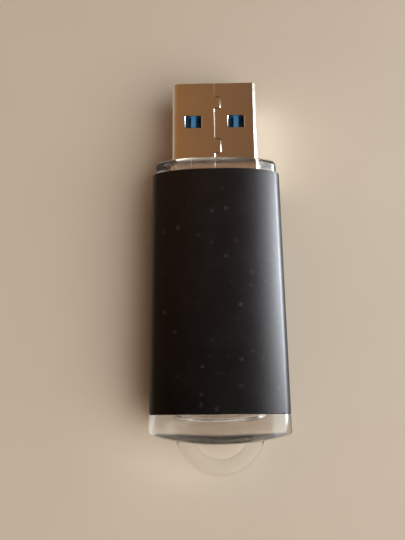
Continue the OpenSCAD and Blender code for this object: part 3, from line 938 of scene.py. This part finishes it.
# Plated through-holes scattered over a grid, each a ring that stands a hair proud of both faces.
def makeViaTree():
    tree, given = newTree("viaField", [
        ("Width", "NodeSocketFloat"), ("Length", "NodeSocketFloat"), ("Pitch", "NodeSocketFloat"),
        ("Radius", "NodeSocketFloat"), ("Hole", "NodeSocketFloat"), ("Height", "NodeSocketFloat"),
        ("Keep", "NodeSocketFloat"), ("Seed", "NodeSocketInt"), ("Material", "NodeSocketMaterial")])

    def count(size):
        return combine(tree, "FLOOR", combine(tree, "DIVIDE", size, given["Pitch"]), 0.0)

    grid = addNode(tree, "GeometryNodeMeshGrid", {
        "Size X": given["Width"], "Size Y": given["Length"],
        "Vertices X": count(given["Width"]), "Vertices Y": count(given["Length"])})
    kept = addNode(tree, "FunctionNodeRandomValue", {"Probability": given["Keep"], "Seed": given["Seed"]},
                   data_type="BOOLEAN").outputs[3]
    jitter = addNode(tree, "FunctionNodeRandomValue", {
        0: (-0.3, -0.3, 0.0), 1: (0.3, 0.3, 0.0), "Seed": given["Seed"]}, data_type="FLOAT_VECTOR").outputs[0]
    moved = addNode(tree, "GeometryNodeSetPosition", {"Geometry": grid.outputs["Mesh"], "Offset": jitter})
    path = addNode(tree, "GeometryNodeCurvePrimitiveCircle", {"Resolution": 20, "Radius": given["Radius"]})
    wall = combine(tree, "SUBTRACT", given["Radius"], given["Hole"])
    section = addNode(tree, "GeometryNodeCurvePrimitiveQuadrilateral", {
        "Width": wall, "Height": given["Height"]})
    ring = addNode(tree, "GeometryNodeCurveToMesh", {
        "Curve": path.outputs["Curve"], "Profile Curve": section.outputs["Curve"]})
    placed = addNode(tree, "GeometryNodeInstanceOnPoints", {
        "Points": moved.outputs["Geometry"], "Selection": kept, "Instance": ring.outputs["Mesh"]})
    endTree(tree, placed.outputs["Instances"], given["Material"])
    return tree


def makeVias():
    shoulderY, rearY = backFromTip(board["shoulder"]), boardLow.y
    vias = bakeTree("vias", newObject("viaSeed", [(0, 0, 0)], []), makeViaTree(), {
        "Width": 2 * boardHigh.x - 2.2, "Length": shoulderY - rearY - 2.4, "Pitch": board["viaPitch"],
        "Radius": board["viaRadius"], "Hole": board["viaHole"], "Height": boardHigh.z - boardLow.z + 0.02,
        "Keep": board["viaKeep"], "Seed": 7, "Material": tinPlate})
    vias.data.transform(Matrix.Translation((0, (shoulderY + rearY) / 2, middleZ)))
    return vias


makeBoard()


print("stage: chips and leads")

chips = {
    "memory": {"size": (12.0, 18.4, 1.0), "middle": 31.6, "span": 20.0, "lift": 0.525, "count": 24, "sides": 2},
    "controller": {"size": (7.0, 7.0, 0.9), "middle": 28.0, "span": 9.0, "lift": 0.475, "count": 12, "sides": 4},
    "regulator": {"size": (1.6, 2.9, 1.1), "middle": 40.3, "x": -2.8, "lift": 0.525, "reach": 0.6,
                  "leads": ((1, -0.95), (1, 0.0), (1, 0.95), (-1, -0.95), (-1, 0.95)),
                  "dimplePlace": (0.4, 1.0), "dimple": 0.16, "dimpleDepth": 0.05},
    "gap": 0.08, "draft": 0.08, "edge": 0.05, "corner": 0.22, "pitch": 0.5, "leadWidth": 0.22,
    "leadHeight": 0.14, "leadEdge": 0.025, "bend": 0.12, "dimple": 0.4, "dimpleDepth": 0.07, "dimpleInset": 1.2}


# A leads' row on each side of a chip, with a solder fillet's pad under every foot.
def makeLeadTree():
    tree, given = newTree("leadRows", [
        ("Count", "NodeSocketInt"), ("Pitch", "NodeSocketFloat"), ("Distance", "NodeSocketFloat"),
        ("Sides", "NodeSocketInt"), ("Material", "NodeSocketMaterial")])
    run = combine(tree, "MULTIPLY", combine(tree, "SUBTRACT", given["Count"], 1.0), given["Pitch"])
    startX = combine(tree, "MULTIPLY", run, -0.5)
    start = addNode(tree, "ShaderNodeCombineXYZ", {"X": startX, "Y": given["Distance"]}).outputs["Vector"]
    step = addNode(tree, "ShaderNodeCombineXYZ", {"X": given["Pitch"]}).outputs["Vector"]
    line = addNode(tree, "GeometryNodeMeshLine", {
        "Count": given["Count"], "Start Location": start, "Offset": step}).outputs["Mesh"]
    row = addNode(tree, "GeometryNodeInstanceOnPoints", {"Points": line, "Instance": given["Geometry"]})
    spots = addNode(tree, "GeometryNodeMeshLine", {
        "Count": given["Sides"], "Offset": (0.0, 0.0, 0.0)}).outputs["Mesh"]
    index = addNode(tree, "GeometryNodeInputIndex").outputs["Index"]
    turn = combine(tree, "MULTIPLY", combine(tree, "DIVIDE", index, given["Sides"]), 2 * math.pi)
    spin = addNode(tree, "ShaderNodeCombineXYZ", {"Z": turn}).outputs["Vector"]
    around = addNode(tree, "GeometryNodeInstanceOnPoints", {
        "Points": spots, "Instance": row.outputs["Instances"], "Rotation": spin})
    endTree(tree, around.outputs["Instances"], given["Material"])
    return tree


# One gull-wing lead that leaves its chip towards +Y, and stands on z = 0 beside its pad.
def makeLead(reach, lift):
    half = chips["leadHeight"] / 2
    path = pathObject("leadPath", [(0, -0.15, lift), (0, reach * 0.38, lift), (0, reach * 0.58, half + 0.02),
                                   (0, reach, half + 0.02)])
    lead = bakeTree("lead", path, sectionTree, {
        "Width": chips["leadWidth"], "Thickness": chips["leadHeight"], "Edge Radius": chips["leadEdge"],
        "Bend Radius": chips["bend"], "Across": (1.0, 0.0, 0.0), "Material": tinPlate})
    foot = softBlock("foot", chips["leadWidth"] + 0.05, reach * 0.55, 0.06, 0, reach * 0.82, -0.01,
                     0.05, chips["leadEdge"], 2, 2)
    setMaterial(foot, tinPlate)
    return joined("lead", [lead, foot])


def makeChipBody(size, x, y, lift):
    width, length, height = size
    draft, edge, corner = chips["draft"], chips["edge"], chips["corner"]
    waist = height * 0.5
    levels = [(0.0, draft + edge), (edge, draft), (waist - 0.03, 0.012), (waist, 0.0), (waist + 0.03, 0.012),
              (height - edge, draft), (height - edge * 0.3, draft + edge * 0.35), (height, draft + edge)]
    rings = [lying(roundRect(width - 2 * inset, length - 2 * inset, corner, 2), x, y, lift + z)
             for z, inset in levels]
    return loft("chipBody", rings)


def makeDimple(x, y, top, radius, depth, sides=28):
    levels = ((depth * 3, radius), (0.0, radius), (-depth, radius * 0.82))
    return loft("dimple", [circle(x, y, top + z, size, sides) for z, size in levels])


# Parts are made standing up on z = 0, then set on the board's top or hung under it.
def onBoard(piece, underneath):
    if underneath:
        piece.data.transform(Matrix.Translation((0, 0, boardLow.z)) @ Matrix.Rotation(math.pi, 4, "Y"))
    else:
        piece.data.transform(Matrix.Translation((0, 0, boardHigh.z)))
    return piece


def makeChips():
    leadTree = makeLeadTree()
    for word, underneath in (("memory", False), ("controller", True)):
        chip = chips[word]
        width, length, height = chip["size"]
        y = backFromTip(chip["middle"])
        body = makeChipBody(chip["size"], 0, y, chips["gap"])
        dimpleX = (-width / 2 + chips["dimpleInset"]) * (-1 if underneath else 1)
        dimpleY = y + length / 2 - chips["dimpleInset"]
        carve(body, makeDimple(dimpleX, dimpleY, chips["gap"] + height, chips["dimple"], chips["dimpleDepth"]))
        setMaterial(body, blackEpoxy)
        onBoard(body, underneath)
        finishPiece(body, word + "Chip", [word + "_chip"])
        reach = (chip["span"] - length) / 2
        leads = bakeTree(word + "Leads", makeLead(reach, chip["lift"]), leadTree, {
            "Count": chip["count"], "Pitch": chips["pitch"], "Distance": length / 2,
            "Sides": chip["sides"], "Material": tinPlate})
        leads.data.transform(Matrix.Translation((0, y, 0)))
        onBoard(leads, underneath)
        finishPiece(leads, word + "ChipLeads", [word + "_chip_leads"])


def makeRegulator():
    chip = chips["regulator"]
    x, y = -chip["x"], backFromTip(chip["middle"])
    body = makeChipBody(chip["size"], x, y, chips["gap"])
    aside, along = chip["dimplePlace"]
    carve(body, makeDimple(x + aside, y + along, chips["gap"] + chip["size"][2], chip["dimple"],
                           chip["dimpleDepth"]))
    setMaterial(body, blackEpoxy)
    onBoard(body, True)
    finishPiece(body, "voltageRegulator", ["voltage_regulator"])
    leads = []
    for side, along in chip["leads"]:
        lead = makeLead(chip["reach"], chip["lift"])
        turn = Matrix.Rotation(-side * math.pi / 2, 4, "Z")
        lead.data.transform(Matrix.Translation((x + side * chip["size"][0] / 2, y + along, 0)) @ turn)
        leads.append(lead)
    leads = onBoard(joined("regulatorLeads", leads), True)
    finishPiece(leads, "regulatorLeads", ["regulator_leads"])


makeChips()
makeRegulator()


print("stage: small parts on the board")

smallParts = {
    "capacitors": {"name": "ceramicCapacitors", "size": (1.0, 0.5, 0.5), "end": 0.22,
                   "material": tanCeramic, "slot": "capacitor_ceramic",
                   "places": ((-4.8, 20.4, 0), (-3.2, 20.4, 0), (3.2, 20.4, 0), (4.8, 20.4, 0), (-4.9, 42.7, 0),
                              (-3.3, 42.7, 0), (-4.9, 34.0, 1), (4.9, 34.0, 1), (-4.9, 35.4, 1), (4.9, 35.4, 1),
                              (4.9, 37.4, 1), (4.9, 38.8, 1))},
    "resistors": {"name": "chipResistors", "size": (1.0, 0.5, 0.35), "end": 0.2,
                  "material": blackFilm, "slot": "resistor_coat",
                  "places": ((3.3, 42.7, 0), (4.9, 42.7, 0), (1.7, 42.7, 0), (-4.9, 36.8, 1), (-4.9, 38.2, 1),
                             (0.0, 33.9, 1), (1.6, 43.6, 1), (-1.6, 43.6, 1))},
    "ferrite_beads": {"name": "ferriteBeads", "size": (1.6, 0.8, 0.8), "end": 0.3,
                      "material": greyFerrite, "slot": "dark_ferrite",
                      "places": ((-4.6, 21.4, 1), (-2.3, 21.4, 1), (2.3, 21.4, 1))}}


# One part is set on every place of its kind; a place's "under" turns it to hang below the board.
def makePlaceTree():
    tree, given = newTree("partsOnPlaces", [
        ("Part", "NodeSocketObject"), ("Material", "NodeSocketMaterial"),
        ("End Material", "NodeSocketMaterial")])
    part = addNode(tree, "GeometryNodeObjectInfo", {"Object": given["Part"]}).outputs["Geometry"]
    under = addNode(tree, "GeometryNodeInputNamedAttribute", {"Name": "under"}, data_type="FLOAT").outputs[0]
    turn = combine(tree, "MULTIPLY", under, math.pi)
    spin = addNode(tree, "ShaderNodeCombineXYZ", {"Y": turn}).outputs["Vector"]
    placed = addNode(tree, "GeometryNodeInstanceOnPoints", {
        "Points": given["Geometry"], "Instance": part, "Rotation": spin}).outputs["Instances"]
    real = addNode(tree, "GeometryNodeRealizeInstances", {"Geometry": placed}).outputs["Geometry"]
    painted = addNode(tree, "GeometryNodeSetMaterial", {"Geometry": real, "Material": given["Material"]})
    ends = addNode(tree, "GeometryNodeInputNamedAttribute", {"Name": "tinned"}, data_type="BOOLEAN").outputs[0]
    tinned = addNode(tree, "GeometryNodeSetMaterial", {
        "Geometry": painted.outputs["Geometry"], "Selection": ends, "Material": given["End Material"]})
    out = tree.nodes.new("NodeGroupOutput")
    tree.links.new(tinned.outputs["Geometry"], out.inputs["Geometry"])
    return tree


# A ceramic block between two dipped metal ends.
def makeTwoEnded(name, size, end, corner=0.05):
    width, length, height = size
    body = softBlock("body", width - 0.06, length - 0.03, height - 0.02, 0, 0, 0.01, corner, 0.04, 2, 2)
    caps = [softBlock("cap", end, length, height, side * (width - end) / 2, 0, 0, corner, 0.05, 2, 3)
            for side in (-1, 1)]
    bodyFaces = len(body.data.polygons)
    whole = joined(name, [body] + caps)
    tinned = whole.data.attributes.new("tinned", "BOOLEAN", "FACE")
    for i, value in enumerate(tinned.data):
        value.value = i >= bodyFaces
    return whole


def makeSmallParts():
    placeTree = makePlaceTree()
    for node, kind in smallParts.items():
        part = makeTwoEnded("part", kind["size"], kind["end"])
        seeds = newObject("places", [(x, backFromTip(t), boardLow.z if under else boardHigh.z)
                                     for x, t, under in kind["places"]], [])
        flags = seeds.data.attributes.new("under", "FLOAT", "POINT")
        for flag, place in zip(flags.data, kind["places"]):
            flag.value = float(place[2])
        piece = bakeTree(kind["name"], seeds, placeTree, {
            "Part": part, "Material": kind["material"], "End Material": tinPlate})
        discard(part)
        finishPiece(piece, kind["name"], [node])


crystal = {"middle": 36.5, "base": (3.2, 2.5, 0.34), "rim": (3.02, 2.32, 0.1), "lid": (2.8, 2.1, 0.32)}


def makeCrystal():
    y = backFromTip(crystal["middle"])
    base = setMaterial(softBlock("base", *crystal["base"], 0, y, 0, 0.2, 0.03), whiteCeramic)
    rim = setMaterial(softBlock("rim", *crystal["rim"], 0, y, 0.32, 0.3, 0.04), canNickel)
    lid = setMaterial(softBlock("lid", *crystal["lid"], 0, y, 0.38, 0.35, 0.1, 5, 4), canNickel)
    finishPiece(onBoard(joined("crystal", [base, rim, lid]), True), "clockCrystal", ["crystal"])


inductor = {
    "x": -2.8, "middle": 40.5, "core": (2.5, 2.0, 1.2), "plate": (0.12, 1.5, 0.5), "plateX": 1.2,
    "groove": ((0.86, 0.2), (0.86, -0.08), (0.76, -0.12), (0.76, 0.2)), "grooveSides": 48}


def makeInductor():
    x, y, height = inductor["x"], backFromTip(inductor["middle"]), inductor["core"][2]
    block = softBlock("core", *inductor["core"], x, y, 0, 0.35, 0.06, 3)
    rings = [circle(x, y, height + rise, radius, inductor["grooveSides"])
             for radius, rise in inductor["groove"]]
    carve(block, loft("groove", rings, wrapped=True))
    setMaterial(block, greyFerrite)
    plates = [softBlock("plate", *inductor["plate"], x + side * inductor["plateX"], y, 0, 0.03, 0.02)
              for side in (-1, 1)]
    for plate in plates:
        setMaterial(plate, tinPlate)
    finishPiece(onBoard(joined("inductor", [block] + plates), True), "powerInductor", ["power_inductor"])


led = {
    "middle": 44.2, "base": (1.54, 0.8, 0.22), "lens": (1.1, 0.74, 0.38), "end": (0.24, 0.8, 0.26),
    "endX": 0.68}


def makeLed():
    y = backFromTip(led["middle"])
    base = setMaterial(softBlock("base", *led["base"], 0, y, 0, 0.04, 0.02), whiteCeramic)
    lens = setMaterial(softBlock("lens", *led["lens"], 0, y, 0.21, 0.12, 0.12, 4, 4), milkyResin)
    ends = [setMaterial(softBlock("end", *led["end"], side * led["endX"], y, 0, 0.04, 0.03), goldPlate)
            for side in (-1, 1)]
    finishPiece(onBoard(joined("led", [base, lens] + ends), False), "activityLed", ["activity_led"])


makeSmallParts()
makeCrystal()
makeInductor()
makeLed()


print("stage: floor, light and camera")

stage = {
    "floorColor": (0.82, 0.69, 0.56, 1), "mottle": 0.97, "floorSize": 3.0,
    "lights": {
        "softbox": {"place": (0.54, -0.38, 0.60), "size": (1.00, 0.90), "power": 8.6,
                    "color": (0.96, 1.0, 0.98)},
        "fillCard": {"place": (0.50, 0.14, 0.38), "size": (0.50, 0.32), "power": 2.3,
                     "color": (0.90, 0.96, 1.0)},
        "glossCard": {"place": (0.60, 0.165, 0.18), "size": (0.32, 0.22), "power": 10.3,
                      "color": (0.79, 0.925, 1.0)}},
    "ceilingLeft": (0.30, 0.147, 0.057, 1), "ceilingRight": (0.145, 0.080, 0.046, 1),
    "ceilingTurn": (-0.16, 0.18), "ceilingBehind": (0.030, 0.016, 0.010, 1), "behindTurn": (0.0, 0.40),
    "wall": (0.37, 0.29, 0.215, 1), "wallHeight": (0.12, 0.62),
    "lens": 34.03, "nearest": 0.002, "cameraPlace": (-0.88, -17.9, 70.29),
    "cameraRight": (0.9998, -0.0101, -0.0191), "cameraUp": (0.0146, 0.9675, 0.2524),
    "cameraBack": (0.0160, -0.2526, 0.9674)}


def makeStage():
    size = stage["floorSize"] / 2
    floor = newObject("floor", [(-size, -size, 0), (size, -size, 0), (size, size, 0), (-size, size, 0)],
                      [(0, 1, 2, 3)])
    material, tree, shader, coords = newMaterial("paleFloor", {"Roughness": 0.65})
    mottle = noise(tree, coords, 60.0, 4.0)
    darker = tuple(c * stage["mottle"] for c in stage["floorColor"][:3]) + (1,)
    colored = mixColors(tree, ramp(tree, mottle, 0.3, 0.7), stage["floorColor"], darker)
    tree.links.new(colored, shader.inputs["Base Color"])
    setMaterial(floor, material)

    world = bpy.data.worlds.new("room")
    bpy.context.scene.world = world
    world.use_nodes = True
    background = world.node_tree.nodes["Background"]
    # pale walls, and a brown ceiling that is dimmer on the right and dark towards the rear
    roomTree = world.node_tree
    direction = addNode(roomTree, "ShaderNodeTexCoord").outputs["Generated"]
    axes = addNode(roomTree, "ShaderNodeSeparateXYZ", {"Vector": direction}).outputs
    ceiling = mixColors(roomTree, ramp(roomTree, axes["X"], *stage["ceilingTurn"]),
                        stage["ceilingLeft"], stage["ceilingRight"])
    ceiling = mixColors(roomTree, ramp(roomTree, axes["Y"], *stage["behindTurn"]),
                        stage["ceilingBehind"], ceiling)
    room = mixColors(roomTree, ramp(roomTree, axes["Z"], *stage["wallHeight"]), stage["wall"], ceiling)
    roomTree.links.new(room, background.inputs["Color"])

    for name, lamp in stage["lights"].items():
        data = bpy.data.lights.new(name, "AREA")
        data.shape = "RECTANGLE"
        data.size, data.size_y = lamp["size"]
        data.energy = lamp["power"]
        data.color = lamp["color"]
        light = bpy.data.objects.new(name, data)
        bpy.context.scene.collection.objects.link(light)
        light.visible_diffuse = name == "softbox"  # the cards only show as a sheen
        light.visible_glossy = name != "softbox"
        light.location = lamp["place"]
        light.rotation_euler = (-Vector(lamp["place"])).to_track_quat("-Z", "Y").to_euler()

    data = bpy.data.cameras.new("camera")
    data.lens = stage["lens"]
    data.clip_start = stage["nearest"]
    camera = bpy.data.objects.new("camera", data)
    bpy.context.scene.collection.objects.link(camera)
    turn = Matrix((stage["cameraRight"], stage["cameraUp"], stage["cameraBack"])).transposed().to_4x4()
    camera.matrix_world = Matrix.Translation(Vector(stage["cameraPlace"]) * mm) @ turn
    bpy.context.scene.camera = camera
    bpy.context.scene.view_settings.view_transform = "Standard"


makeStage()
